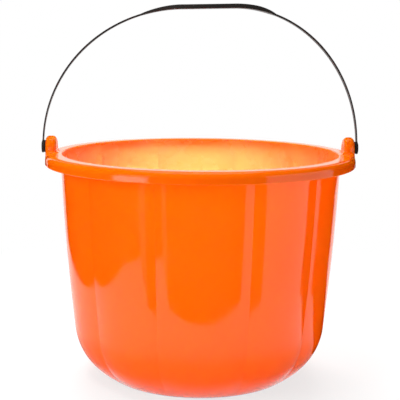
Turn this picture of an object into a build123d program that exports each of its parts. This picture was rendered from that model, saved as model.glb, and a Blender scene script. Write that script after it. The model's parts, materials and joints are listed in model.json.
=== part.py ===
from build123d import *
import math
import os

os.makedirs("parts", exist_ok=True)

# Sizes in millimetres, Z up, X along the line through both ears
wall = 1.6

# Bowl, as half a section
rim_height = 157.6
heel_radius = 90.0
heel_height = 35.4
wall_bulge = 1.2
foot_radius = 66.0
foot_width = 9.0
foot_step = 1.8

# Turned-down rim
rim_radius = 108.8
rim_overhang = 10.1
rim_round = 4.4
rim_skirt = 7.7
lip_chamfer = 0.9
skirt_chamfer = 0.5

# Ten lobes, with the grooves between them at angles counted from the front of the pail
front_groove_angle = 19.0
side_groove_angle = 50.5
groove_depth = 2.0
wall_shares = (0.44, 0.88, 0.95, 1.0)
corner_shares = (0.0, 0.2, 0.4, 0.6, 0.8, 1.0)
groove_top_share = 0.88
groove_foot_share = 0.45
run_out_power = 2.5

# Hollow ears standing on the rim
ear_width = 18.0
ear_height = 11.3
ear_thickness = 7.5
ear_chamfer = 1.6
ear_wall = 1.8
ear_setback = 0.4
ear_root_share = 0.8

# Snap pivots
pivot_rise = 3.9
pivot_hole = 5.1
stud_diameter = 5.0
stud_head_diameter = 6.4
stud_tip_diameter = 4.4
stud_head_length = 2.0
stud_play = 0.35
pad_diameter = 8.6
pad_gap = 0.3

# Bail strap and grip
strap_gap = 1.45
strap_thickness = 1.2
strap_width = 9.0
bail_rise = 97.2
crown_half_length = 17.5
bail_lean = 6.5
grip_half_length = 43.0
grip_lean = 4.4
grip_width = 18.0
grip_thickness = 3.0
grip_ramp = 9.0
grip_corner = 5.0
grip_chamfer = 0.6

# Worked out from the sizes above
half = 0.5
quarter_turn = 90
half_turn = 180
plate_low = rim_height - wall
neck_radius = rim_radius - rim_overhang
skirt_low = rim_height - rim_skirt
pivot_height = rim_height + pivot_rise
panel_radius = foot_radius - foot_width
floor_shift = wall * math.tan(math.radians(quarter_turn * half * half))
ear_outside = rim_radius - ear_setback
ear_inside = ear_outside - ear_thickness
ear_hollow = ear_outside - ear_wall
skirt_inside = rim_radius - wall
strap_inside = rim_radius + strap_gap
strap_middle = strap_inside + strap_thickness * half
crown_height = pivot_height + bail_rise
crown_left = bail_lean - crown_half_length
crown_right = bail_lean + crown_half_length
grip_left = grip_lean - grip_half_length
grip_right = grip_lean + grip_half_length
grip_inside = -strap_thickness * half
grip_outside = grip_inside + grip_thickness
stud_base = ear_hollow - stud_play


def level(height):
    """Horizontal plane at a height, turned so that circles drawn on it start between the ears."""
    return Plane((0, 0, height), x_dir=(0, 1, 0), z_dir=(0, 0, 1))


def inside_of(edge, share, side):
    """Section point one wall thickness inside an edge of the bowl; side is 1 where it runs up, -1 down."""
    along = edge % share
    spot = edge @ share
    return (spot.X - side * wall * along.Y, spot.Y + side * wall * along.X)


# Outer curve of the bowl as a flat section: wall above the heel, corner below it
with BuildLine() as bowl_curve:
    wall_curve = SagittaArc((heel_radius, heel_height), (neck_radius, plate_low), -wall_bulge)
    corner_curve = TangentArc((heel_radius, heel_height), (foot_radius, 0), tangent=-(wall_curve % 0))
inner_neck = inside_of(wall_curve, 1, 1)

def groove(share, run_out):
    """Depth of the grooves at a share of a curve of the bowl; from the run-out share on they fade to its end."""
    return groove_depth * (1 - (max(0, share - run_out) / (1 - run_out)) ** run_out_power)


# Ten lobes: a wide one at the front and back, narrower ones beside it, a groove under each ear
groove_turns = [0, half_turn]
for angle in (front_groove_angle, side_groove_angle):
    for facing in (-quarter_turn, quarter_turn):
        groove_turns += [facing - angle, facing + angle]
groove_turns.sort()


def lobes(radius, depth):
    """Closed ring of lobe arcs of the given crest radius, meeting in grooves of the given depth."""
    for start, end in zip(groove_turns, groove_turns[1:] + [groove_turns[0] + half_turn + half_turn]):
        ThreePointArc(
            Vector(radius - depth, 0).rotate(Axis.Z, start),
            Vector(radius, 0).rotate(Axis.Z, (start + end) * half),
            Vector(radius - depth, 0).rotate(Axis.Z, end),
        )


# Crest radius, height and groove depth of each ring, from the foot up
outer_rings = []
inner_rings = []
for share in corner_shares[::-1]:
    spot = corner_curve @ share
    depth = groove(share, groove_foot_share)
    outer_rings.append((spot.X, spot.Y, depth))
    inner_rings.append((*inside_of(corner_curve, share, -1), depth))
for share in wall_shares:
    spot = wall_curve @ share
    depth = groove(share, groove_top_share)
    outer_rings.append((spot.X, spot.Y, depth))
    inner_rings.append((*inside_of(wall_curve, share, 1), depth))

# Space inside the bowl, with a floor that steps up over the foot ring
with BuildPart() as core:
    for radius, height, depth in inner_rings:
        with BuildSketch(Plane.XY.offset(height)):
            with BuildLine():
                lobes(radius, depth)
            make_face()
    loft(ruled=True)
    with BuildSketch(Plane.YZ):
        with BuildLine():
            Polyline(
                (0, inner_neck[1]),
                inner_neck,
                (inner_neck[0], rim_height - lip_chamfer),
                (inner_neck[0] + lip_chamfer + wall, rim_height + wall),
                (0, rim_height + wall),
                close=True,
            )
        make_face()
    revolve(axis=Axis.Z)
    with BuildSketch(Plane.YZ):
        with BuildLine():
            Polyline(
                (0, 0),
                (foot_radius + foot_step, 0),
                (foot_radius + foot_step, wall),
                (panel_radius + foot_step + floor_shift, wall),
                (panel_radius + floor_shift, foot_step + wall),
                (0, foot_step + wall),
                close=True,
            )
        make_face()
    revolve(axis=Axis.Z, mode=Mode.SUBTRACT)

# One ear on the +X side: an arch standing on the rim, bounded by the rim's own curve
arch_middle = rim_height + ear_height - ear_width * half
seat_low = rim_height - wall * half
root_low = rim_height - rim_round * ear_root_share
with BuildPart() as ear:
    with BuildSketch(Plane.YZ):
        with Locations((0, arch_middle)):
            Circle(ear_width * half)
        with Locations((0, seat_low)):
            Rectangle(ear_width, arch_middle - seat_low, align=(Align.CENTER, Align.MIN))
    extrude(amount=rim_radius + wall)
    with BuildSketch(level(seat_low)):
        Circle(ear_outside)
        Circle(ear_inside, mode=Mode.SUBTRACT)
    extrude(amount=ear_width + ear_height, mode=Mode.INTERSECT)
    with BuildSketch(level(root_low)):
        Circle(ear_outside)
        Circle(ear_hollow - wall * half, mode=Mode.SUBTRACT)
        Rectangle(ear_width, rim_radius + wall, align=(Align.CENTER, Align.MAX), mode=Mode.INTERSECT)
    extrude(amount=rim_height - root_low)
    ear_faces = ear.faces().filter_by(GeomType.CYLINDER).sort_by(Axis.X)
    ear_edges = ear_faces[0].edges() + ear_faces[-1].edges()
    chamfer(ear_edges.filter_by(lambda e: e.center().Z > seat_low - wall), ear_chamfer)

# Hollow under the ear, open below into the rim
with BuildPart() as hollow:
    with BuildSketch(Plane.YZ):
        with Locations((0, arch_middle)):
            Circle(ear_width * half - wall)
        with Locations((0, skirt_low)):
            Rectangle(ear_width - wall - wall, arch_middle - skirt_low, align=(Align.CENTER, Align.MIN))
    extrude(amount=rim_radius + wall)
    with BuildSketch(level(skirt_low)):
        Circle(ear_hollow)
        Circle(ear_inside + wall, mode=Mode.SUBTRACT)
    extrude(amount=rim_skirt + ear_width + ear_height, mode=Mode.INTERSECT)

# Bowl, rim and ears in one moulding
with BuildPart() as pail:
    for radius, height, depth in outer_rings:
        with BuildSketch(Plane.XY.offset(height)):
            with BuildLine():
                lobes(radius, depth)
            make_face()
    loft(ruled=True)
    with BuildSketch(Plane.YZ):
        with BuildLine():
            Polyline(
                (0, 0), (panel_radius + foot_step, 0), (panel_radius, foot_step), (0, foot_step), close=True
            )
        make_face()
    revolve(axis=Axis.Z, mode=Mode.SUBTRACT)
    with BuildSketch(Plane.YZ) as rim_section:
        with BuildLine():
            Polyline(
                (inner_neck[0] - wall, plate_low),
                (skirt_inside, plate_low),
                (skirt_inside, skirt_low),
                (rim_radius, skirt_low),
                (rim_radius, rim_height),
                (inner_neck[0] - wall, rim_height),
                close=True,
            )
        make_face()
        fillet(rim_section.vertices().sort_by_distance((rim_radius, rim_height, 0))[0], rim_round)
        chamfer(rim_section.vertices().group_by(Axis.Y)[0], skirt_chamfer)
        chamfer(rim_section.vertices().sort_by_distance((skirt_inside, plate_low, 0))[0], wall)
    revolve(axis=Axis.Z)
    for turn in (0, half_turn):
        add(ear.part.rotate(Axis.Z, turn))
    add(core.part, mode=Mode.SUBTRACT)
    for turn in (0, half_turn):
        add(hollow.part.rotate(Axis.Z, turn), mode=Mode.SUBTRACT)
    for facing in (1, -1):
        bore_start = (facing * (ear_hollow - wall), 0, pivot_height)
        with BuildSketch(Plane(bore_start, z_dir=(facing, 0, 0))):
            Circle(pivot_hole * half)
        extrude(amount=ear_thickness, mode=Mode.SUBTRACT)
pail.part.label = "pail"
export_step(pail.part, "parts/pail.step")


def bail_curve(shift):
    """Closed side outline of the bail down to the pivots, moved outwards from the middle of the strap."""
    left = strap_middle + crown_left + shift
    right = strap_middle - crown_right + shift
    rise = bail_rise + shift
    EllipticalCenterArc((crown_left, pivot_height), left, rise, quarter_turn, arc_size=quarter_turn)
    Line((crown_left, crown_height + shift), (crown_right, crown_height + shift))
    EllipticalCenterArc((crown_right, pivot_height), right, rise, 0, arc_size=quarter_turn)
    Line((strap_middle + shift, pivot_height), (-strap_middle - shift, pivot_height))


def strap_top(reach, span):
    """Height of the strap's outer face a distance along from the end of the straight crown."""
    return pivot_height + (bail_rise + strap_thickness * half) * math.sqrt(1 - (reach / span) ** 2)


# Grip, a thicker and wider band following the crown, cut to ramps and a plan with clipped corners
with BuildPart() as grip:
    with BuildSketch(Plane.XZ):
        with BuildLine():
            bail_curve(grip_outside)
        make_face()
        with BuildLine():
            bail_curve(grip_inside)
        make_face(mode=Mode.SUBTRACT)
    extrude(amount=grip_width * half, both=True)
    with BuildSketch(Plane.XZ):
        left_top = strap_top(crown_left - grip_left, strap_middle + crown_left)
        right_top = strap_top(grip_right - crown_right, strap_middle - crown_right)
        with BuildLine():
            Polyline(
                (grip_left, pivot_height),
                (grip_left, left_top),
                (grip_left + grip_ramp, crown_height + grip_outside),
                (grip_left + grip_ramp, crown_height + grip_width),
                (grip_right - grip_ramp, crown_height + grip_width),
                (grip_right - grip_ramp, crown_height + grip_outside),
                (grip_right, right_top),
                (grip_right, pivot_height),
                close=True,
            )
        make_face()
    extrude(amount=grip_width, both=True, mode=Mode.INTERSECT)
    with BuildSketch(Plane.XY.offset(pivot_height)):
        with Locations((grip_lean, 0)):
            Rectangle(grip_half_length + grip_half_length, grip_width)
        chamfer(vertices(), grip_corner)
    extrude(amount=bail_rise + grip_width, mode=Mode.INTERSECT)
    long_sides = grip.faces().filter_by(Axis.Y)
    chamfer(long_sides.edges().filter_by(lambda e: abs((e % half).Z) < half), grip_chamfer)

# Strap, rounded strap ends, pads and snap studs, with the grip
with BuildPart() as handle:
    with BuildSketch(Plane.XZ):
        with BuildLine():
            bail_curve(strap_thickness * half)
        make_face()
        with BuildLine():
            bail_curve(-strap_thickness * half)
        make_face(mode=Mode.SUBTRACT)
    extrude(amount=strap_width * half, both=True)
    add(grip.part)
    for facing in (1, -1):
        strap_end = (facing * strap_inside, 0, pivot_height)
        with BuildSketch(Plane(strap_end, x_dir=(0, facing, 0), z_dir=(facing, 0, 0))):
            Circle(strap_width * half)
            Rectangle(strap_width, strap_width, align=(Align.CENTER, Align.MAX), mode=Mode.INTERSECT)
        extrude(amount=strap_thickness)
        with BuildSketch(Plane((0, 0, pivot_height), x_dir=(facing, 0, 0), z_dir=(0, -facing, 0))):
            with BuildLine():
                Polyline(
                    (strap_middle, 0),
                    (strap_middle, pad_diameter * half),
                    (rim_radius + pad_gap, pad_diameter * half),
                    (rim_radius + pad_gap, stud_diameter * half),
                    (stud_base, stud_diameter * half),
                    (stud_base, stud_head_diameter * half),
                    (stud_base - stud_head_length, stud_tip_diameter * half),
                    (stud_base - stud_head_length, 0),
                    close=True,
                )
            make_face()
        revolve(axis=Axis((0, 0, pivot_height), (1, 0, 0)))
handle.part.label = "handle"
export_step(handle.part, "parts/handle.step")
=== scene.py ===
"""Candy pail with pumpkin lobes and a swinging strap bail: its meshes, finishes, studio and camera."""

import json
import logging
import math
from dataclasses import dataclass
from enum import Enum

import bmesh
import bpy
from mathutils import Matrix, Vector


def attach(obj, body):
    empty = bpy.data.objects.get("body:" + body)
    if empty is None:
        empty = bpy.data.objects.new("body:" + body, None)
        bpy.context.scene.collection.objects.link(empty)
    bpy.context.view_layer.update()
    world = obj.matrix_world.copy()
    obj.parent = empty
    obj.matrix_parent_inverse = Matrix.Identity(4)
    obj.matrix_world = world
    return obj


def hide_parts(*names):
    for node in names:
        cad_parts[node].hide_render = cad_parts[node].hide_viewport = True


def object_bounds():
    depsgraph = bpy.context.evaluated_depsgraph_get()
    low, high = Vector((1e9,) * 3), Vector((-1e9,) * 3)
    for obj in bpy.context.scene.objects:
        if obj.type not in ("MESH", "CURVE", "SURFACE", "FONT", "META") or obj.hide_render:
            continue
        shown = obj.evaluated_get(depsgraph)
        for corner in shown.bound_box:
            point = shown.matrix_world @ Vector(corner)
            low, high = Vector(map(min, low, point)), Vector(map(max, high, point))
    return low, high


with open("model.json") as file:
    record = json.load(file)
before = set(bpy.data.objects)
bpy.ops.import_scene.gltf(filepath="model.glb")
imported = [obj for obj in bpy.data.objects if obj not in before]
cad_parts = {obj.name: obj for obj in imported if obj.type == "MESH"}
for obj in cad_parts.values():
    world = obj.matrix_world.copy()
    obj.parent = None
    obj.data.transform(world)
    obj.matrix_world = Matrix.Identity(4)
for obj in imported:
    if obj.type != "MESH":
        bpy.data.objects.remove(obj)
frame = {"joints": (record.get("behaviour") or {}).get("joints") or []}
cad_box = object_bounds()

LOG = logging.getLogger("candy_pail")
QUARTER = math.pi / 2
WELD = 1e-6
Point = tuple[float, float]
Span = tuple[float, float]
Colour = tuple[float, float, float, float]


class Sock:
    """An output socket on which Python's arithmetic adds Math nodes."""

    def __init__(self, graph: "Graph", socket: bpy.types.NodeSocket) -> None:
        """Keeps the socket and the graph that it belongs to."""
        self.graph = graph
        self.socket = socket

    def math(self, operation: str, *others: "Sock | float") -> "Sock":
        """Adds one Math node.

        Args:
            operation: The Math node's operation.
            *others: The values after this one.

        Returns:
            The node's result.
        """
        values = dict(enumerate((self, *others)))
        return self.graph.out("ShaderNodeMath", {"operation": operation}, values)

    def __add__(self, other: "Sock | float") -> "Sock":
        """This value plus another."""
        return self.math("ADD", other)

    def __sub__(self, other: "Sock | float") -> "Sock":
        """This value less another."""
        return self.math("SUBTRACT", other)

    def __rsub__(self, other: float) -> "Sock":
        """A number less this value."""
        return (self * -1.0) + other

    def __mul__(self, other: "Sock | float") -> "Sock":
        """This value times another."""
        return self.math("MULTIPLY", other)

    def __truediv__(self, other: "Sock | float") -> "Sock":
        """This value divided by another."""
        return self.math("DIVIDE", other)

    def __gt__(self, other: "Sock | float") -> "Sock":
        """One where this value is the greater, else zero."""
        return self.math("GREATER_THAN", other)

    def floor(self) -> "Sock":
        """The whole number at or below this value."""
        return self.math("FLOOR")

    def cos(self) -> "Sock":
        """Cosine of this angle."""
        return self.math("COSINE")

    def sin(self) -> "Sock":
        """Sine of this angle."""
        return self.math("SINE")

    def most(self, other: "Sock | float") -> "Sock":
        """The greater of this value and another."""
        return self.math("MAXIMUM", other)

    def ramp(self, low: float, high: float, to_low: float = 0.0, to_high: float = 1.0) -> "Sock":
        """Smooth step of this value.

        Args:
            low: Value at which the step starts.
            high: Value at which it ends.
            to_low: Result below the step.
            to_high: Result above it.

        Returns:
            The stepped value.
        """
        limits = {"Value": self, 1: low, 2: high, 3: to_low, 4: to_high}
        return self.graph.out("ShaderNodeMapRange", {"interpolation_type": "SMOOTHSTEP"}, limits)

    __radd__ = __add__
    __rmul__ = __mul__


@dataclass(frozen=True)
class Grain:
    """A noise pattern: its waves to a metre, its finer layers and how strong those are."""

    scale: float
    detail: float
    roughness: float = 0.5


class Graph:
    """A node tree that is filled through one node-making method."""

    def __init__(self, tree: bpy.types.NodeTree) -> None:
        """Keeps the tree."""
        self.tree = tree

    @staticmethod
    def pick(sockets: bpy.types.bpy_prop_collection, key: str | int) -> bpy.types.NodeSocket:
        """Finds a socket.

        Args:
            sockets: A node's inputs or outputs.
            key: Its place, identifier or name.

        Returns:
            The socket.
        """
        if isinstance(key, int):
            return sockets[key]
        named = [s for s in sockets if s.identifier == key] or [s for s in sockets if s.name == key]
        return named[0]

    def node(self, kind: str, settings: dict | None = None, inputs: dict | None = None) -> bpy.types.Node:
        """Makes a node.

        Args:
            kind: The node's type.
            settings: Its properties, set before its sockets.
            inputs: Values or links of its sockets, by place, identifier or name.

        Returns:
            The node.
        """
        made = self.tree.nodes.new(kind)
        for name, value in (settings or {}).items():
            setattr(made, name, value)
        for key, value in (inputs or {}).items():
            socket = self.pick(made.inputs, key)
            if isinstance(value, Sock):
                self.tree.links.new(value.socket, socket)
            else:
                socket.default_value = value
        return made

    def out(
        self,
        kind: str,
        settings: dict | None = None,
        inputs: dict | None = None,
        output: str | int = 0,
    ) -> Sock:
        """Makes a node and wraps one of its outputs.

        Args:
            kind: The node's type.
            settings: Its properties.
            inputs: Values or links of its sockets.
            output: Place, identifier or name of the output.

        Returns:
            That output.
        """
        made = self.node(kind, settings, inputs)
        return Sock(self, self.pick(made.outputs, output))

    def split(self, vector: Sock) -> list[Sock]:
        """The three parts of a vector."""
        parts = self.node("ShaderNodeSeparateXYZ", None, {0: vector})
        return [Sock(self, socket) for socket in parts.outputs]

    def noise(self, place: Sock, grain: Grain) -> Sock:
        """Noise texture.

        Args:
            place: Coordinates that it reads.
            grain: Its pattern.

        Returns:
            A value that is mostly between 0.3 and 0.7.
        """
        pattern = {"Scale": grain.scale, "Detail": grain.detail, "Roughness": grain.roughness}
        return self.out("ShaderNodeTexNoise", None, {"Vector": place, **pattern})

    def mix(self, factor: Sock, first: "Colour | Sock", second: "Colour | Sock") -> Sock:
        """Mixes two colours.

        Args:
            factor: Share of the second.
            first: Colour at 0.
            second: Colour at 1.

        Returns:
            The mixed colour.
        """
        inputs = {"Factor_Float": factor, "A_Color": first, "B_Color": second}
        return self.out("ShaderNodeMix", {"data_type": "RGBA"}, inputs, "Result_Color")


def new_material(name: str) -> tuple[bpy.types.Material, Graph]:
    """Makes an empty node material.

    Args:
        name: The material's name.

    Returns:
        The material and its graph.
    """
    material = bpy.data.materials.new(name)
    material.use_nodes = True
    material.node_tree.nodes.clear()
    return material, Graph(material.node_tree)


@dataclass(frozen=True)
class OrangePlastic:
    """Glossy orange moulding that lets some light through its thin wall; its inside is a lighter, yellower
    copy with longer scatter, a painted glow.
    """

    colour: Colour = (1.0, 0.13, 0.0015, 1.0)
    deep_colour: Colour = (0.985, 0.115, 0.001, 1.0)
    # Lighter, yellower colours for the inside faces: a painted glow of light coming through the wall.
    inner_painted_glow_colour: Colour = (1.0, 0.145, 0.004, 1.0)
    inner_deep_painted_glow_colour: Colour = (0.985, 0.13, 0.003, 1.0)
    gloss: float = 0.07
    dull: float = 0.13
    inner_gloss: float = 0.20
    inner_dull: float = 0.35
    refraction: float = 1.47
    scatter_share: float = 0.65
    scatter_reach: tuple[float, float, float] = (0.012, 0.0063, 0.001)
    inner_scatter_share: float = 0.8
    inner_scatter_reach: tuple[float, float, float] = (0.012, 0.0110, 0.080)
    inside_span: Span = (-0.06, -0.03)
    flow: Grain = Grain(9.0, 3.0)
    flow_span: Span = (0.3, 0.7)
    haze: Grain = Grain(55.0, 4.0, 0.6)
    haze_span: Span = (0.35, 0.7)
    peel: Grain = Grain(420.0, 2.0)
    peel_strength: float = 0.05
    peel_depth: float = 0.0002

    def material(self) -> bpy.types.Material:
        """Builds the node material.

        Returns:
            The finished material.
        """
        material, g = new_material("orange_plastic")
        place = g.out("ShaderNodeTexCoord", None, None, "Object")
        normal = g.out("ShaderNodeNewGeometry", None, None, "Normal")
        x, y, _ = g.split(place)
        out_x, out_y, _ = g.split(normal)
        inside = (x * out_x + y * out_y).ramp(*self.inside_span, 1.0, 0.0)
        streak = g.noise(place, self.flow).ramp(*self.flow_span)
        haze = g.noise(place, self.haze)
        peel = g.noise(place, self.peel)
        relief = {"Strength": self.peel_strength, "Distance": self.peel_depth, "Height": peel}
        bump = g.out("ShaderNodeBump", None, relief)
        skin = {"Normal": bump, "IOR": self.refraction, "Subsurface Scale": 1.0}
        outer = {
            "Base Color": g.mix(streak, self.deep_colour, self.colour),
            "Roughness": haze.ramp(*self.haze_span, self.gloss, self.dull),
            "Subsurface Weight": self.scatter_share,
            "Subsurface Radius": self.scatter_reach,
        }
        # Inside copy of the plastic, with lighter colour and longer scatter: a painted glow of back light
        # through the wall.
        inner = {
            "Base Color": g.mix(streak, self.inner_deep_painted_glow_colour, self.inner_painted_glow_colour),
            "Roughness": haze.ramp(*self.haze_span, self.inner_gloss, self.inner_dull),
            "Subsurface Weight": self.inner_scatter_share,
            "Subsurface Radius": self.inner_scatter_reach,
        }
        scatter = {"subsurface_method": "RANDOM_WALK"}
        sides = [g.out("ShaderNodeBsdfPrincipled", scatter, {**skin, **side}) for side in (outer, inner)]
        both = g.out("ShaderNodeMixShader", None, {0: inside, 1: sides[0], 2: sides[1]})
        g.node("ShaderNodeOutputMaterial", None, {"Surface": both})
        return material


@dataclass(frozen=True)
class BlackPlastic:
    """Black moulding with a soft, faintly mottled gloss."""

    colour: Colour = (0.016, 0.015, 0.014, 1.0)
    worn_colour: Colour = (0.024, 0.022, 0.020, 1.0)
    gloss: float = 0.32
    dull: float = 0.44
    refraction: float = 1.46
    shine: float = 0.12
    flow: Grain = Grain(30.0, 3.0)
    wear_span: Span = (0.35, 0.7)
    gloss_span: Span = (0.3, 0.7)
    grain: Grain = Grain(1500.0, 2.0)
    grain_strength: float = 0.12
    grain_depth: float = 0.0001

    def material(self) -> bpy.types.Material:
        """Builds the node material.

        Returns:
            The finished material.
        """
        material, g = new_material("black_plastic")
        place = g.out("ShaderNodeTexCoord", None, None, "Object")
        flow = g.noise(place, self.flow)
        grain = g.noise(place, self.grain)
        colour = g.mix(flow.ramp(*self.wear_span), self.colour, self.worn_colour)
        rough = flow.ramp(*self.gloss_span, self.gloss, self.dull)
        relief = {"Strength": self.grain_strength, "Distance": self.grain_depth, "Height": grain}
        bump = g.out("ShaderNodeBump", None, relief)
        skin = {"Base Color": colour, "Roughness": rough, "Normal": bump}
        fixed = {"IOR": self.refraction, "Specular IOR Level": self.shine}
        shader = g.out("ShaderNodeBsdfPrincipled", None, {**skin, **fixed})
        g.node("ShaderNodeOutputMaterial", None, {"Surface": shader})
        return material


def add_object(name: str, mesh: bpy.types.Mesh) -> bpy.types.Object:
    """Links a mesh into the scene.

    Args:
        name: The object's name.
        mesh: Its mesh.

    Returns:
        The new object.
    """
    made = bpy.data.objects.new(name, mesh)
    bpy.context.scene.collection.objects.link(made)
    return made


def shape_object(name: str, shape: bmesh.types.BMesh) -> bpy.types.Object:
    """Turns a finished bmesh into an object, and frees it.

    Args:
        name: The object's name.
        shape: The bmesh.

    Returns:
        The new object.
    """
    mesh = bpy.data.meshes.new(name)
    shape.to_mesh(mesh)
    shape.free()
    return add_object(name, mesh)


def chain_object(name: str, places: list[Vector], values: dict[str, list]) -> bpy.types.Object:
    """Makes loose points that carry named values for a node tree to read.

    Args:
        name: The object's name.
        places: The points.
        values: Lists of numbers or vectors, one for each point.

    Returns:
        The new object.
    """
    mesh = bpy.data.meshes.new(name)
    mesh.from_pydata(places, [], [])
    for key, numbers in values.items():
        vectors = isinstance(numbers[0], Vector)
        layer = mesh.attributes.new(key, "FLOAT_VECTOR" if vectors else "FLOAT", "POINT")
        flat = [part for number in numbers for part in number] if vectors else numbers
        layer.data.foreach_set("vector" if vectors else "value", flat)
    return add_object(name, mesh)


def bake_mesh(made: bpy.types.Object) -> None:
    """Turns an object's modifiers into its plain mesh, and removes them.

    Args:
        made: The object.
    """
    bpy.context.view_layer.update()
    graph = bpy.context.evaluated_depsgraph_get()
    mesh = bpy.data.meshes.new_from_object(made.evaluated_get(graph))
    made.modifiers.clear()
    made.data = mesh


def combine(made: bpy.types.Object, operation: str, others: list[bpy.types.Object]) -> None:
    """Joins other solids to an object or cuts them out of it, and removes them.

    Args:
        made: The object that stays.
        operation: The Boolean modifier's operation.
        others: The solids that are used up.
    """
    for other in others:
        step = made.modifiers.new("solid", "BOOLEAN")
        step.operation = operation
        step.solver = "EXACT"
        step.object = other
    bake_mesh(made)
    for other in others:
        bpy.data.objects.remove(other)


def smooth_finish(made: bpy.types.Object, material: bpy.types.Material, sharp: float) -> None:
    """Shades an object smoothly between its true edges and gives it one material.

    Args:
        made: The object.
        material: Its material.
        sharp: Least angle of an edge that stays sharp.
    """
    made.data.shade_smooth()
    made.data.set_sharp_from_angle(angle=sharp)
    weigh = made.modifiers.new("flat_faces", "WEIGHTED_NORMAL")
    weigh.keep_sharp = True
    bake_mesh(made)
    made.data.materials.clear()
    made.data.materials.append(material)
    made.data.polygons.foreach_set("material_index", [0] * len(made.data.polygons))


@dataclass(frozen=True)
class GridTree:
    """A node tree that lays a grid of points by a rule, from points that carry values."""

    graph: Graph
    inputs: dict[str, Sock]
    values: dict[str, object]

    @classmethod
    def start(cls, name: str, sizes: dict[str, tuple[str, object]]) -> "GridTree":
        """Starts a tree.

        Args:
            name: The tree's name.
            sizes: Socket type and value of each of its named inputs.

        Returns:
            The tree with its group input.
        """
        tree = bpy.data.node_groups.new(name, "GeometryNodeTree")
        for way in ("OUTPUT", "INPUT"):
            tree.interface.new_socket("Geometry", in_out=way, socket_type="NodeSocketGeometry")
        for label, (kind, _) in sizes.items():
            tree.interface.new_socket(label, in_out="INPUT", socket_type=kind)
        graph = Graph(tree)
        entry = graph.node("NodeGroupInput")
        inputs = {s.name: Sock(graph, s) for s in entry.outputs if s.name}
        return cls(graph, inputs, {label: value for label, (_, value) in sizes.items()})

    def sample(self, index: Sock, key: str | None, kind: str = "FLOAT") -> Sock:
        """Reads a value that the points carry.

        Args:
            index: Which point.
            key: The value's name, or None for the point's own place.
            kind: FLOAT or FLOAT_VECTOR.

        Returns:
            The value at that point.
        """
        if key is None:
            value = self.graph.out("GeometryNodeInputPosition")
        else:
            value = self.graph.out(
                "GeometryNodeInputNamedAttribute", {"data_type": kind}, {"Name": key}, "Attribute"
            )
        links = {"Geometry": self.inputs["Geometry"], "Value": value, "Index": index}
        return self.graph.out("GeometryNodeSampleIndex", {"data_type": kind}, links)

    def grid(self, columns: Sock | int, rows: Sock | int) -> tuple[Sock, Sock, Sock]:
        """Makes a grid.

        Args:
            columns: Points across.
            rows: Points in a column.

        Returns:
            The grid, and each point's column and row.
        """
        counts = {"Vertices X": columns, "Vertices Y": rows}
        mesh = self.graph.out("GeometryNodeMeshGrid", None, counts)
        index = self.graph.out("GeometryNodeInputIndex")
        # Half a step keeps the division clear of whole numbers.
        column = ((index + 0.5) / rows).floor()
        return mesh, column, index - column * rows

    def close(self, mesh: Sock, place: tuple[Sock, Sock, Sock], flip: bool) -> None:
        """Places the grid's points, closes its seams and ends the tree.

        Args:
            mesh: The grid.
            place: X, Y and Z of its points.
            flip: Whether its faces have to be turned round.
        """
        g = self.graph
        spot = g.out("ShaderNodeCombineXYZ", None, dict(enumerate(place)))
        mesh = g.out("GeometryNodeSetPosition", None, {"Geometry": mesh, "Position": spot})
        mesh = g.out("GeometryNodeMergeByDistance", None, {"Geometry": mesh, "Distance": WELD})
        if flip:
            mesh = g.out("GeometryNodeFlipFaces", None, {0: mesh})
        mesh = g.out("GeometryNodeRealizeInstances", None, {"Geometry": mesh})
        dressed = {"Geometry": mesh, "Material": self.inputs["Material"]}
        mesh = g.out("GeometryNodeSetMaterial", None, dressed)
        g.node("NodeGroupOutput", None, {"Geometry": mesh})

    def apply(self, made: bpy.types.Object) -> None:
        """Runs the tree on an object and keeps the plain mesh.

        Args:
            made: The object that carries the tree's points.
        """
        step = made.modifiers.new("rule", "NODES")
        step.node_group = self.graph.tree
        for item in self.graph.tree.interface.items_tree:
            if item.in_out == "INPUT" and item.name in self.values:
                step[item.identifier] = self.values[item.name]
        bake_mesh(made)


def quarter_steps(count: int) -> list[float]:
    """Angles of a quarter turn in even steps, with both ends."""
    return [QUARTER * step / count for step in range(count + 1)]


@dataclass(frozen=True)
class Arc:
    """Part of a circle in a section, from one angle to another."""

    middle: Vector
    radius: float
    start: float
    end: float

    @classmethod
    def about(cls, middle: Vector, radius: float, ends: tuple[Vector, Vector]) -> "Arc":
        """Arc about a middle, from the first of two points to the last."""
        turns = [math.atan2(end.y - middle.y, end.x - middle.x) for end in ends]
        return cls(middle, radius, *turns)

    @classmethod
    def bulged(cls, first: Vector, last: Vector, rise: float) -> "Arc":
        """Arc through two points.

        Args:
            first: Its start.
            last: Its end.
            rise: How far it stands out to the right of the line between them.

        Returns:
            The arc.
        """
        chord = last - first
        radius = (chord.length_squared / 4 + rise * rise) / (2 * rise)
        right = Vector((chord.y, -chord.x)).normalized()
        middle = (first + last) / 2 - right * (radius - rise)
        return cls.about(middle, radius, (first, last))

    @classmethod
    def tangent(cls, before: "Arc", last: Vector) -> "Arc":
        """Arc that goes on backwards from another arc's start.

        Args:
            before: The arc that it meets smoothly.
            last: Its far end.

        Returns:
            The arc, from that meeting point.
        """
        first = before.at(0.0)
        inward = (before.middle - first).normalized()
        chord = last - first
        radius = chord.length_squared / (2 * chord.dot(inward))
        middle = first + inward * radius
        return cls.about(middle, radius, (first, last))

    def at(self, share: float, inset: float = 0.0) -> Vector:
        """Point a share of the way along, moved in towards the middle."""
        turn = self.start + (self.end - self.start) * share
        return self.middle + Vector((math.cos(turn), math.sin(turn))) * (self.radius - inset)


@dataclass(frozen=True)
class Knot:
    """One corner of a section: where it is, how deep the grooves are there and how it is rounded."""

    place: Vector
    groove: float = 0.0
    rounding: float = 0.0

    @classmethod
    def plain(cls, x: float, y: float, rounding: float = 0.0) -> "Knot":
        """Corner where there is no groove."""
        return cls(Vector((x, y)), 0.0, rounding)


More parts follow.
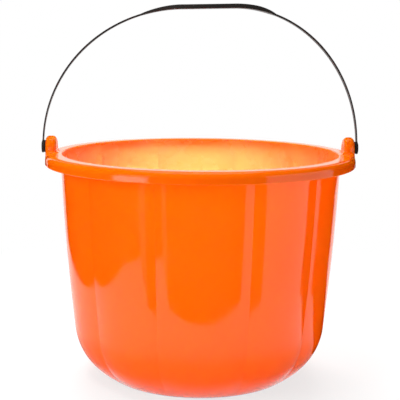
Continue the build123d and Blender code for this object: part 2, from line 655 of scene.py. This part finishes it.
def round_section(knots: list[Knot], steps: int) -> list[Knot]:
    """Replaces each corner that has a rounding by a small arc.

    Args:
        knots: The corners in order.
        steps: Points in each arc, less one.

    Returns:
        The section's points.
    """
    rounded = []
    for index, knot in enumerate(knots):
        if not knot.rounding:
            rounded.append(knot)
            continue
        back = (knots[index - 1].place - knot.place).normalized()
        ahead = (knots[index + 1].place - knot.place).normalized()
        half_angle = back.angle(ahead) / 2
        middle = knot.place + (back + ahead).normalized() * (knot.rounding / math.sin(half_angle))
        reach = knot.rounding / math.tan(half_angle)
        first = knot.place + back * reach - middle
        last = knot.place + ahead * reach - middle
        for step in range(steps + 1):
            spoke = first.slerp(last, step / steps).normalized() * knot.rounding
            rounded.append(Knot(middle + spoke, knot.groove))
    return rounded


@dataclass(frozen=True)
class ArchSizes:
    """Sizes of a block under an arch; flare and root are how far its foot and its outer root spread."""

    inner: float
    outer: float
    half_width: float
    low: float
    rounding: float
    flare: float = 0.0
    root: float = 0.0


@dataclass
class Pail:
    """The moulded bowl with its lobes, turned-down rim and hollow ears."""

    finish: OrangePlastic
    pivot_height: float
    # Bowl and rim
    wall: float = 0.0016
    rim_height: float = 0.1576
    rim_radius: float = 0.1088
    neck_radius: float = 0.0987
    heel_radius: float = 0.0900
    heel_height: float = 0.0354
    wall_bulge: float = 0.0012
    foot_radius: float = 0.0660
    foot_width: float = 0.0090
    foot_step: float = 0.0018
    rim_round: float = 0.0044
    rim_skirt: float = 0.0077
    lip_round: float = 0.0009
    hem_round: float = 0.0005
    # Lobes and the grooves between them
    front_groove: float = math.radians(19.0)
    side_groove: float = math.radians(50.5)
    groove_depth: float = 0.0020
    groove_end_share: float = 0.88
    corner_end_share: float = 0.45
    fade_power: float = 2.5
    lobes: int = 10
    # Ears
    ear_width: float = 0.0180
    ear_height: float = 0.0113
    ear_thickness: float = 0.0075
    ear_round: float = 0.0028
    ear_wall: float = 0.0018
    ear_setback: float = 0.00015
    ear_flare: float = 0.0022
    ear_root: float = 0.0080
    ear_sink_share: float = 1.25
    pivot_hole: float = 0.0051
    # Rows and steps of the mesh
    lobe_columns: int = 22
    wall_rows: int = 12
    wall_row_share: float = 0.07
    groove_end_rows: int = 10
    corner_rows: int = 16
    round_steps: int = 8
    arch_steps: int = 24
    edge_steps: int = 6
    cap_shares: tuple[float, ...] = (0.04, 0.3, 0.55, 0.8)
    hole_segments: int = 40
    sharp_angle: float = math.radians(38.0)

    def fade(self, share: float, start: float) -> float:
        """Groove depth, as a share, where the grooves run out beyond a share of an arc."""
        return 1.0 - (max(0.0, share - start) / (1.0 - start)) ** self.fade_power

    def section(self) -> list[Knot]:
        """Half section of the moulding, from the middle of its underside round to the floor inside.

        Returns:
            The section's points.
        """
        plate_low = self.rim_height - self.wall
        skirt_low = self.rim_height - self.rim_skirt
        skirt_inside = self.rim_radius - self.wall
        panel = self.foot_radius - self.foot_width
        floor_shift = self.wall * math.tan(QUARTER / 4)
        heel = Vector((self.heel_radius, self.heel_height))
        side = Arc.bulged(heel, Vector((self.neck_radius, plate_low)), self.wall_bulge)
        corner = Arc.tangent(side, Vector((self.foot_radius, 0.0)))
        rise = [self.wall_row_share * step for step in range(1, self.wall_rows + 1)]
        end_row = (1.0 - self.groove_end_share) / self.groove_end_rows
        rise += [self.groove_end_share + end_row * step for step in range(self.groove_end_rows + 1)]
        turn = [step / self.corner_rows for step in range(self.corner_rows + 1)]
        lip = side.at(1.0, self.wall).x

        knots = [
            Knot.plain(0.0, self.foot_step),
            Knot.plain(panel, self.foot_step, self.hem_round),
            Knot.plain(panel + self.foot_step, 0.0, self.hem_round),
        ]
        knots += [Knot(corner.at(s), self.fade(s, self.corner_end_share)) for s in reversed(turn)]
        knots += [Knot(side.at(s), self.fade(s, self.groove_end_share)) for s in rise]
        knots += [
            Knot.plain(skirt_inside, plate_low, self.wall),
            Knot.plain(skirt_inside, skirt_low, self.hem_round),
            Knot.plain(self.rim_radius, skirt_low, self.hem_round),
            Knot.plain(self.rim_radius, self.rim_height, self.rim_round),
            Knot.plain(lip, self.rim_height, self.lip_round),
        ]
        knots += [
            Knot(side.at(s, self.wall), self.fade(s, self.groove_end_share)) for s in reversed(rise)
        ]
        inner_turn = [s for s in turn if corner.at(s, self.wall).y > self.wall + self.hem_round]
        knots += [
            Knot(corner.at(s, self.wall), self.fade(s, self.corner_end_share)) for s in inner_turn
        ]
        knots += [
            Knot.plain(self.foot_radius - self.wall / 2, self.wall, self.hem_round),
            Knot.plain(panel + self.foot_step + floor_shift, self.wall, self.hem_round),
            Knot.plain(panel + floor_shift, self.foot_step + self.wall, self.hem_round),
            Knot.plain(0.0, self.foot_step + self.wall),
        ]
        return round_section(knots, self.round_steps)

    def groove_turn(self, lobe: Sock, front: Sock, side: Sock) -> Sock:
        """Angle of the groove at which a lobe starts, counted from an ear.

        Args:
            lobe: Number of the lobe in its half turn, from 0 to 5.
            front: Half angle of the lobe at the front.
            side: Angle from the front to the groove before the ear.

        Returns:
            The angle.
        """
        # Each term is the angle of one lobe, and counts for the lobes after it.
        first = (lobe > 0.5) * (QUARTER - side) + (lobe > 1.5) * (side - front)
        second = (lobe > 2.5) * (front * 2.0) + (lobe > 3.5) * (side - front)
        return first + second + (lobe > 4.5) * (QUARTER - side)

    def bowl(self, material: bpy.types.Material) -> bpy.types.Object:
        """Bowl and rim as one closed skin, laid by a node tree that turns the section and cuts the lobes.

        Args:
            material: The pail's material.

        Returns:
            The bowl.
        """
        points = self.section()
        places = [Vector((p.place.x, 0.0, p.place.y)) for p in points]
        made = chain_object("pail_shell", places, {"groove": [p.groove for p in points]})
        sizes = {
            "Rows": ("NodeSocketInt", len(points)),
            "Lobe Columns": ("NodeSocketInt", self.lobe_columns),
            "Front Groove": ("NodeSocketFloat", self.front_groove),
            "Side Groove": ("NodeSocketFloat", self.side_groove),
            "Groove Depth": ("NodeSocketFloat", self.groove_depth),
            "Material": ("NodeSocketMaterial", material),
        }
        tree = GridTree.start("lobed_bowl", sizes)
        g, size = tree.graph, tree.inputs
        half_lobes = self.lobes / 2
        mesh, column, row = tree.grid(size["Lobe Columns"] * self.lobes + 1.0, size["Rows"])
        lobe = ((column + 0.5) / size["Lobe Columns"]).floor()
        along = column / size["Lobe Columns"] - lobe
        across = (along * math.pi).cos() * -1.0
        half_turns = ((lobe + 0.5) / half_lobes).floor()
        number = lobe - half_turns * half_lobes
        start = self.groove_turn(number, size["Front Groove"], size["Side Groove"])
        end = self.groove_turn(number + 1.0, size["Front Groove"], size["Side Groove"])
        turn = half_turns * math.pi + start + (end - start) * (across * 0.5 + 0.5)
        radius, _, height = g.split(tree.sample(row, None, "FLOAT_VECTOR"))
        depth = tree.sample(row, "groove") * size["Groove Depth"]
        reach = (radius - depth * across * across).most(0.0)
        tree.close(mesh, (reach * turn.cos(), reach * turn.sin(), height), flip=True)
        tree.apply(made)
        return made

    def arch_stations(self, block: ArchSizes) -> list[tuple[float, float, float]]:
        """Rings of an arch block, from its inner side to its outer one.

        Args:
            block: The block's sizes.

        Returns:
            Radius, inset from the full width and greatest height of each ring.
        """
        full = self.rim_height + self.ear_height
        rounding, flare = block.rounding, block.flare
        flat = block.half_width - rounding
        rounds = quarter_steps(self.edge_steps)
        if flare:
            inner_side = [
                (
                    block.inner - flare * (1 - math.sin(t)),
                    rounding,
                    self.rim_height + flare * (1 - math.cos(t)),
                )
                for t in rounds
            ]
        else:
            inner_side = [(block.inner, block.half_width - flat * s, full) for s in self.cap_shares]
        inner_edge = [
            (block.inner + rounding * (1 - math.cos(t)), rounding * (1 - math.sin(t)), full) for t in rounds
        ]
        outer_edge = [
            (block.outer - rounding * (1 - math.sin(t)), rounding * (1 - math.cos(t)), full) for t in rounds
        ]
        outer_side = [
            (block.outer, block.half_width - flat * s, full) for s in reversed(self.cap_shares)
        ]
        return inner_side + inner_edge + outer_edge + outer_side

    def arch_outline(self, block: ArchSizes, radius: float, inset: float) -> list[Point]:
        """Outline of one ring of an arch block, whose foot follows the rim's rounding.

        Args:
            block: The block's sizes.
            radius: The ring's distance from the pail's axis.
            inset: How far it lies inside the full width.

        Returns:
            Its points, across and up.
        """
        width = block.half_width - inset
        past = max(0.0, radius - (self.rim_radius - self.rim_round))
        spread = block.flare * width / block.half_width + block.root * (past / self.rim_round) ** 2
        drop = self.rim_round - math.sqrt(max(0.0, self.rim_round**2 - past**2))
        foot = self.rim_height - drop
        side = [(width + spread, block.low - self.ear_sink_share * drop)]
        if block.flare:
            side += [
                (width + spread * (1 - math.sin(t)), foot + (block.flare + drop) * (1 - math.cos(t)))
                for t in quarter_steps(self.edge_steps)
            ]
        top = self.rim_height + self.ear_height - self.ear_width / 2
        turns = [math.pi * step / self.arch_steps for step in range(self.arch_steps + 1)]
        arch = [(width * math.cos(t), top + width * math.sin(t)) for t in turns]
        return side + arch + [(-y, z) for y, z in reversed(side)]

    def arch_block(self, name: str, facing: int, block: ArchSizes) -> bpy.types.Object:
        """Closed block under an arch, between two radii of the rim.

        Args:
            name: The object's name.
            facing: 1 for the ear at +X, -1 for the one at -X.
            block: The block's sizes.

        Returns:
            The block.
        """
        shape = bmesh.new()
        rings = []
        for radius, inset, highest in self.arch_stations(block):
            ring = []
            for y, z in self.arch_outline(block, radius, inset):
                x = facing * math.sqrt(radius**2 - y**2)
                ring.append(shape.verts.new((x, facing * y, min(z, highest))))
            rings.append(ring)
        for before, after in zip(rings, rings[1:]):
            count = len(before)
            for k in range(count):
                j = (k + 1) % count
                shape.faces.new((before[k], before[j], after[j], after[k]))
        shape.faces.new(rings[0])
        shape.faces.new(rings[-1])
        bmesh.ops.recalc_face_normals(shape, faces=shape.faces)
        return shape_object(name, shape)

    def bore(self, facing: int) -> bpy.types.Object:
        """Round hole through an ear's outer wall, as a solid to cut.

        Args:
            facing: 1 for the ear at +X, -1 for the one at -X.

        Returns:
            The solid.
        """
        shape = bmesh.new()
        middle = facing * (self.rim_radius - self.ear_wall / 2)
        place = Matrix.Translation((middle, 0.0, self.pivot_height)) @ Matrix.Rotation(QUARTER, 4, "Y")
        bmesh.ops.create_cone(
            shape,
            cap_ends=True,
            segments=self.hole_segments,
            radius1=self.pivot_hole / 2,
            radius2=self.pivot_hole / 2,
            depth=self.ear_thickness,
            matrix=place,
        )
        return shape_object("bore", shape)

    def build(self) -> bpy.types.Object:
        """Builds the pail, dresses it and puts it on its body.

        Returns:
            The finished piece.
        """
        material = self.finish.material()
        made = self.bowl(material)
        outside = self.rim_radius - self.ear_setback
        inside = outside - self.ear_thickness
        seat = self.rim_height - self.wall / 2
        half = self.ear_width / 2
        skirt_low = self.rim_height - self.rim_skirt
        ear = ArchSizes(inside, outside, half, seat, self.ear_round, self.ear_flare, self.ear_root)
        hollow = ArchSizes(
            inside + self.wall, outside - self.ear_wall, half - self.wall, skirt_low, self.hem_round
        )
        ears, cuts = [], []
        for facing in (1, -1):
            ears.append(self.arch_block("ear", facing, ear))
            cuts.append(self.arch_block("hollow", facing, hollow))
            cuts.append(self.bore(facing))
        combine(made, "UNION", ears)
        combine(made, "DIFFERENCE", cuts)
        smooth_finish(made, material, self.sharp_angle)
        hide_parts("pail")
        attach(made, "pail")
        return made


@dataclass
class Bail:
    """The strap bail with its grip, and the pads and snap studs at its ends."""

    finish: BlackPlastic
    pivot_height: float
    # Strap
    strap_middle: float = 0.11085
    strap_width: float = 0.0090
    strap_thickness: float = 0.0012
    strap_edge: float = 0.0003
    end_width: float = 0.0050
    end_thickness: float = 0.0007
    taper_share: float = 0.75
    pad_blend_shares: Span = (1.2, 0.6)
    bail_rise: float = 0.0972
    crown_half: float = 0.0175
    crown_drop: float = 0.0009
    bail_lean: float = 0.0065
    # Grip
    grip_lean: float = 0.0047
    grip_half: float = 0.0465
    grip_width: float = 0.0180
    grip_thickness: float = 0.0030
    grip_edge: float = 0.0008
    grip_left_ramp: float = 0.0280
    grip_right_ramp: float = 0.0150
    grip_corner: float = 0.0050
    # End pads and snap studs
    pad_face: float = 0.1091
    pad_radius: float = 0.0043
    stud_base: float = 0.10625
    stud_radius: float = 0.0025
    head_radius: float = 0.0032
    tip_radius: float = 0.0022
    head_length: float = 0.0020
    # Stations and steps of the mesh
    tip_share: float = 1.05
    end_steps: int = 10
    half_stations: int = 60
    corner_shares: tuple[float, ...] = (0.0, 0.1, 0.25, 0.5, 0.75, 1.0)
    edge_steps: int = 5
    round_steps: int = 4
    stud_segments: int = 48
    sharp_angle: float = math.radians(35.0)

    def path(self) -> list[tuple[Vector, Vector]]:
        """Middle line of the strap from the left pivot over the crown to the right one.

        Returns:
            Place and outward direction of each station.
        """
        left, right = self.bail_lean - self.crown_half, self.bail_lean + self.crown_half
        spans = {-1: self.strap_middle + left, 1: self.strap_middle - right}
        ends = [self.strap_width / 2 * math.sin(t) for t in reversed(quarter_steps(self.end_steps)[1:])]
        breaks = [self.grip_corner * share for share in self.corner_shares]
        halves = {}
        for side, corner in ((-1, left), (1, right)):
            span = spans[side]
            rise = self.bail_rise - (self.crown_drop if side < 0 else 0.0)
            grip_end = self.grip_lean + side * self.grip_half
            turns = set(quarter_steps(self.half_stations))
            turns.update(math.asin(height / rise) for height in ends)
            for reach in breaks:
                turns.add(math.acos((grip_end - side * reach - corner) / (side * span)))
            stations = [
                (Vector((side * self.strap_middle, 0.0, self.pivot_height - drop)), Vector((side, 0, 0)))
                for drop in ends
            ]
            for turn in sorted(turns):
                x, z = math.cos(turn), math.sin(turn)
                spot = Vector((corner + side * span * x, 0.0, self.pivot_height + rise * z))
                outward = Vector((side * x * rise, 0.0, z * span)).normalized()
                stations.append((spot, outward))
            halves[side] = stations
        return halves[-1] + halves[1][::-1]

    def grip_share(self, place: Vector, length: float) -> float:
        """How far inside the grip's ends a station lies, as a share of a length, from 0 to 1."""
        depth = self.grip_half - abs(place.x - self.grip_lean)
        return min(1.0, max(0.0, depth / length))

    def strap_shares(self, rise: float) -> tuple[float, float]:
        """How full the strap is at a height above the pivot.

        Args:
            rise: That height.

        Returns:
            Shares of the full width and of the full thickness, from 0 at the slim end to 1.
        """
        wide = min(1.0, max(0.0, rise / (self.bail_rise * self.taper_share)))
        gone, whole = (share * self.strap_width / 2 for share in self.pad_blend_shares)
        pad = min(1.0, max(0.0, (rise - gone) / (whole - gone)))
        return wide, max(wide, pad * pad * (3 - 2 * pad))

    def stations(self) -> tuple[list[Vector], dict[str, list]]:
        """Places along the strap, with the values that each of them carries.

        Returns:
            The places, and lists of outward directions, half widths, tops and edge roundings.
        """
        half_strap, half_end = self.strap_width / 2, self.end_width / 2
        full_top = self.strap_thickness / 2
        slim_top = self.end_thickness - full_top
        least_tip = self.strap_edge * self.tip_share
        places = []
        carried = {"aim": [], "half_width": [], "top": [], "edge": []}
        for spot, outward in self.path():
            rise = spot.z - self.pivot_height
            wide, thick = self.strap_shares(rise)
            ramp = self.grip_left_ramp if spot.x < self.grip_lean else self.grip_right_ramp
            plan = math.sin(self.grip_share(spot, self.grip_corner) * QUARTER)
            grown = math.sin(self.grip_share(spot, ramp) * QUARTER)
            least = half_end + (half_strap - half_end) * wide if rise > 0.0 else least_tip
            width = max(least, math.sqrt(max(0.0, half_strap**2 - rise**2)))
            top = slim_top + (full_top - slim_top) * thick
            places.append(spot)
            carried["aim"].append(outward)
            carried["half_width"].append(width + (self.grip_width / 2 - half_strap) * plan)
            carried["top"].append(top + (self.grip_thickness - self.strap_thickness) * grown)
            carried["edge"].append(self.strap_edge + (self.grip_edge - self.strap_edge) * grown)
        return places, carried

    def ring(self) -> tuple[list[Vector], list[Vector]]:
        """Closed ring of the strap's section, with rounded edges.

        Returns:
            The corner to which each point belongs, and its direction from that corner's middle.
        """
        corners, spokes = [], []
        for corner, (across, up) in enumerate(((1, 1), (-1, 1), (-1, -1), (1, -1))):
            for step in range(self.edge_steps + 1):
                turn = QUARTER * (corner + step / self.edge_steps)
                corners.append(Vector((across, up, 0.0)))
                spokes.append(Vector((math.cos(turn), math.sin(turn), 0.0)))
        return corners + corners[:1], spokes + spokes[:1]

    def strap(self, material: bpy.types.Material) -> bpy.types.Object:
        """Strap and grip as one closed skin, swept along the path by a node tree.

        Args:
            material: The bail's material.

        Returns:
            The strap.
        """
        places, carried = self.stations()
        corners, spokes = self.ring()
        carried["aim"] += spokes
        for key in ("half_width", "top", "edge"):
            carried[key] += [0.0] * len(corners)
        made = chain_object("bail", places + corners, carried)
        sizes = {
            "Stations": ("NodeSocketInt", len(places)),
            "Ring": ("NodeSocketInt", len(corners)),
            "Underside": ("NodeSocketFloat", self.strap_thickness / 2),
            "Material": ("NodeSocketMaterial", material),
        }
        tree = GridTree.start("strap_along_path", sizes)
        g, size = tree.graph, tree.inputs
        mesh, station, step = tree.grid(size["Stations"], size["Ring"])
        x, _, z = g.split(tree.sample(station, None, "FLOAT_VECTOR"))
        out_x, _, out_z = g.split(tree.sample(station, "aim", "FLOAT_VECTOR"))
        half_width = tree.sample(station, "half_width")
        top = tree.sample(station, "top")
        edge = tree.sample(station, "edge")
        around = step + size["Stations"]
        corner_x, corner_y, _ = g.split(tree.sample(around, None, "FLOAT_VECTOR"))
        arc_x, arc_y, _ = g.split(tree.sample(around, "aim", "FLOAT_VECTOR"))
        half_thick = (top + size["Underside"]) * 0.5
        lift = (top - size["Underside"]) * 0.5 + corner_y * (half_thick - edge) + arc_y * edge
        across = corner_x * (half_width - edge) + arc_x * edge
        tree.close(mesh, (x + out_x * lift, across, z + out_z * lift), flip=False)
        tree.apply(made)
        shape = bmesh.new()
        shape.from_mesh(made.data)
        bmesh.ops.holes_fill(shape, edges=shape.edges)
        bmesh.ops.recalc_face_normals(shape, faces=shape.faces)
        shape.to_mesh(made.data)
        shape.free()
        return made

    def stud(self, facing: int) -> bpy.types.Object:
        """Pad, stud and tapered snap head at one end, turned about the pivot.

        Args:
            facing: 1 for the end at +X, -1 for the one at -X.

        Returns:
            The turned solid.
        """
        tip = self.stud_base - self.head_length
        soft = self.strap_edge
        knots = [
            Knot.plain(self.strap_middle, 0.0),
            Knot.plain(self.strap_middle, self.pad_radius),
            Knot.plain(self.pad_face, self.pad_radius, soft),
            Knot.plain(self.pad_face, self.stud_radius),
            Knot.plain(self.stud_base, self.stud_radius),
            Knot.plain(self.stud_base, self.head_radius, soft),
            Knot.plain(tip, self.tip_radius, soft),
            Knot.plain(tip, 0.0),
        ]
        shape = bmesh.new()
        line = [
            shape.verts.new((facing * k.place.x, 0.0, self.pivot_height + k.place.y))
            for k in round_section(knots, self.round_steps)
        ]
        edges = [shape.edges.new(pair) for pair in zip(line, line[1:])]
        bmesh.ops.spin(
            shape,
            geom=line + edges,
            cent=(0.0, 0.0, self.pivot_height),
            axis=(1.0, 0.0, 0.0),
            angle=2 * math.pi,
            steps=self.stud_segments,
            use_merge=True,
        )
        bmesh.ops.remove_doubles(shape, verts=shape.verts, dist=WELD)
        bmesh.ops.recalc_face_normals(shape, faces=shape.faces)
        return shape_object("stud", shape)

    def build(self) -> bpy.types.Object:
        """Builds the bail, dresses it and puts it on its body.

        Returns:
            The finished piece.
        """
        material = self.finish.material()
        made = self.strap(material)
        combine(made, "UNION", [self.stud(facing) for facing in (1, -1)])
        smooth_finish(made, material, self.sharp_angle)
        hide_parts("handle")
        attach(made, "handle")
        return made


class Tone(Enum):
    """How bright a studio screen looks in the gloss."""

    BLACK = 0.0
    GREY = 0.3
    BRIGHT = 3.5


@dataclass(frozen=True)
class Screen:
    """A studio screen that shows only in reflections; its foot may be drawn in towards the pail."""

    start: Point
    end: Point
    tone: Tone
    high: float = 0.22
    low: float = 0.0
    drawn_in: float = 0.0


@dataclass(frozen=True)
class Lamp:
    """A soft lamp that lights the object and stays out of its gloss."""

    name: str
    place: tuple[float, float, float]
    size: Point
    power: float


@dataclass
class Studio:
    """Pale floor, white surroundings, soft lamps, and the screens that the gloss shows."""

    floor_reach: float = 6.0
    floor_colour: Colour = (0.7, 0.7, 0.7, 1.0)
    white: Colour = (1.0, 1.0, 1.0, 1.0)
    painted_shadow_black: Colour = (0.0, 0.0, 0.0, 1.0)
    shadow_share: float = 0.25
    shadow_reach: Span = (0.15, 0.45)
    # Painted contact shadow: how dark, how far out and from where the floor is painted black for glossy
    # rays near the pail's foot.
    painted_contact_shadow_share: float = 0.8
    painted_contact_shadow_reach: Span = (0.10, 0.21)
    painted_contact_shadow_start: Span = (0.066, 0.088)
    ambient: float = 0.2
    lamps: tuple[Lamp, ...] = (
        Lamp("key", (-0.40, -0.42, 0.38), (0.3, 0.3), 1.8),
        Lamp("front", (0.30, -0.9, 0.40), (0.8, 0.6), 2.0),
        Lamp("top", (-0.28, -0.15, 1.25), (0.5, 0.5), 11.5),
        Lamp("back", (0.0, 0.90, 0.32), (0.9, 0.4), 10.5),
        Lamp("back_low", (0.0, 0.60, 0.06), (0.8, 0.1), 3.0),
        Lamp("back_top", (0.0, 0.60, 0.70), (0.7, 0.5), 9.0),
    )
    screens: tuple[Screen, ...] = (
        Screen((-0.115, -0.205), (0.145, -0.205), Tone.BLACK, high=0.9),
        Screen((-0.225, -0.295), (-0.115, -0.205), Tone.GREY, high=0.11),
        Screen((-0.290, -0.200), (-0.225, -0.295), Tone.BLACK, high=0.10),
        Screen((-0.270, 0.000), (-0.290, -0.200), Tone.BLACK, high=1.2),
        Screen((-0.300, 0.350), (-0.270, 0.000), Tone.BLACK, high=0.9),
        Screen((0.257, -0.012), (0.215, 0.130), Tone.BLACK),
        Screen((0.257, -0.012), (0.215, 0.130), Tone.BLACK, high=0.03, low=0.001, drawn_in=0.62),
        Screen((-0.548, -0.244), (-0.353, -0.485), Tone.BRIGHT, high=0.185, low=0.07),
        Screen((-0.290, -0.200), (-0.115, -0.205), Tone.BLACK, high=1.2, low=0.24),
        Screen((0.145, -0.205), (0.270, 0.000), Tone.BLACK, high=1.2, low=0.24),
        Screen((0.270, 0.000), (0.300, 0.350), Tone.BLACK, high=0.9, low=0.23),
        Screen((-0.300, 0.450), (0.300, 0.450), Tone.BLACK, high=0.9, low=0.28),
        Screen((-0.310, 0.450), (-0.175, 0.450), Tone.BLACK, high=0.28, low=0.085),
        Screen((0.175, 0.450), (0.310, 0.450), Tone.BLACK, high=0.28, low=0.085),
        Screen((0.215, 0.130), (0.310, 0.450), Tone.BLACK, high=0.28, low=0.10),
    )

    @staticmethod
    def seen(g: Graph) -> Sock:
        """Finds the rays that show the surroundings, from the camera, gloss or clear plastic.

        Args:
            g: The graph that asks.

        Returns:
            One for such rays, else zero.
        """
        rays = g.node("ShaderNodeLightPath").outputs
        camera, glossy, through = (
            Sock(g, rays[name]) for name in ("Is Camera Ray", "Is Glossy Ray", "Is Transmission Ray")
        )
        return camera.most(glossy).most(through)

    def world(self) -> None:
        """Surroundings that look white and light the object softly."""
        made = bpy.data.worlds.new("surroundings")
        bpy.context.scene.world = made
        made.use_nodes = True
        made.node_tree.nodes.clear()
        g = Graph(made.node_tree)
        strength = self.seen(g) * (1.0 - self.ambient) + self.ambient
        sky = g.out("ShaderNodeBackground", None, {"Color": self.white, "Strength": strength})
        g.node("ShaderNodeOutputWorld", None, {"Surface": sky})

    def floor(self) -> None:
        """Pale floor that looks white and keeps a soft shadow; near the pail's foot glossy rays see it
        painted black, a painted contact shadow in the reflections.
        """
        material, g = new_material("floor")
        x, y, _ = g.split(g.out("ShaderNodeTexCoord", None, None, "Object"))
        away = (x * x + y * y).math("SQRT")
        glossy = g.out("ShaderNodeLightPath", None, None, "Is Glossy Ray")
        near = away.ramp(*self.shadow_reach, self.shadow_share, 0.0)
        painted_shadow_falloff = away.ramp(*self.painted_contact_shadow_reach, self.painted_contact_shadow_share, 0.0)
        # Painted contact shadow: glossy rays see the floor near the foot turned black, whatever the light
        # there.
        painted_contact_shadow = painted_shadow_falloff * away.ramp(*self.painted_contact_shadow_start) * glossy
        seen = self.seen(g) * (1.0 - near.most(painted_contact_shadow))
        colour = g.mix(painted_contact_shadow, self.floor_colour, self.painted_shadow_black)
        matt = g.out("ShaderNodeBsdfDiffuse", None, {"Color": colour})
        glow = g.out("ShaderNodeEmission", None, {"Color": self.white, "Strength": 1.0})
        both = g.out("ShaderNodeMixShader", None, {0: seen, 1: matt, 2: glow})
        g.node("ShaderNodeOutputMaterial", None, {"Surface": both})
        far = self.floor_reach
        mesh = bpy.data.meshes.new("floor")
        corners = [(-far, -far, 0.0), (far, -far, 0.0), (far, far, 0.0), (-far, far, 0.0)]
        mesh.from_pydata(corners, [], [(0, 1, 2, 3)])
        mesh.materials.append(material)
        add_object("floor", mesh)

    def stand_screens(self) -> None:
        """Stands the screens round the pail."""
        for number, screen in enumerate(self.screens):
            material, g = new_material(f"screen_{number}")
            tone = screen.tone.value
            glow = g.out("ShaderNodeEmission", None, {"Color": self.white, "Strength": tone})
            g.node("ShaderNodeOutputMaterial", None, {"Surface": glow})
            (x0, y0), (x1, y1) = screen.start, screen.end
            low, high, foot = screen.low, screen.high, 1.0 - screen.drawn_in
            corners = [(x0 * foot, y0 * foot, low), (x1 * foot, y1 * foot, low)]
            corners += [(x1, y1, high), (x0, y0, high)]
            mesh = bpy.data.meshes.new(f"screen_{number}")
            mesh.from_pydata(corners, [], [(0, 1, 2, 3)])
            mesh.materials.append(material)
            made = add_object(f"screen_{number}", mesh)
            made.visible_camera = False
            made.visible_diffuse = False
            made.visible_transmission = False
            made.visible_shadow = False

    def hang_lamps(self, aim: Vector) -> None:
        """Hangs the lamps.

        Args:
            aim: The point that they light.
        """
        for lamp in self.lamps:
            light = bpy.data.lights.new(lamp.name, "AREA")
            light.shape = "RECTANGLE"
            light.size, light.size_y = lamp.size
            light.energy = lamp.power
            made = bpy.data.objects.new(lamp.name, light)
            place = Vector(lamp.place)
            turn = (aim - place).to_track_quat("-Z", "Y").to_matrix().to_4x4()
            made.matrix_world = Matrix.Translation(place) @ turn
            made.visible_glossy = False
            bpy.context.scene.collection.objects.link(made)

    def build(self, aim: Vector) -> None:
        """Sets up the studio.

        Args:
            aim: The point that the lamps light.
        """
        self.world()
        self.floor()
        self.stand_screens()
        self.hang_lamps(aim)
        bpy.context.scene.view_settings.view_transform = "Standard"


@dataclass(frozen=True)
class PhotoCamera:
    """Camera at the photograph's place and angle."""

    distance: float = 0.720
    height: float = 0.23947
    heading: float = math.radians(1.7)
    pitch: float = math.radians(9.153)
    roll: float = math.radians(0.52)
    lens: float = 92.08
    sensor: float = 36.0
    nearest: float = 0.01

    def build(self) -> bpy.types.Object:
        """Places the camera and makes it the scene's own.

        Returns:
            The camera.
        """
        data = bpy.data.cameras.new("camera")
        data.lens = self.lens
        data.sensor_width = self.sensor
        data.clip_start = self.nearest
        made = bpy.data.objects.new("camera", data)
        bpy.context.scene.collection.objects.link(made)
        back = Matrix.Translation((0.0, -self.distance, self.height))
        stand = Matrix.Rotation(-self.heading, 4, "Z") @ back
        tilt = Matrix.Rotation(QUARTER - self.pitch, 4, "X") @ Matrix.Rotation(self.roll, 4, "Z")
        made.matrix_world = stand @ tilt
        bpy.context.scene.camera = made
        return made


def main() -> None:
    """Builds the pail, the bail, the studio and the camera in order."""
    logging.basicConfig(level=logging.INFO, format="%(name)s: %(message)s")
    pivot_height = frame["joints"][0]["pos_m"][2]
    for piece in (Pail(OrangePlastic(), pivot_height), Bail(BlackPlastic(), pivot_height)):
        made = piece.build()
        LOG.info("%s has %d faces", made.name, len(made.data.polygons))
    middle = (cad_box[0] + cad_box[1]) / 2
    Studio().build(middle)
    LOG.info("camera %s", PhotoCamera().build().name)


if __name__ == "__main__":
    main()
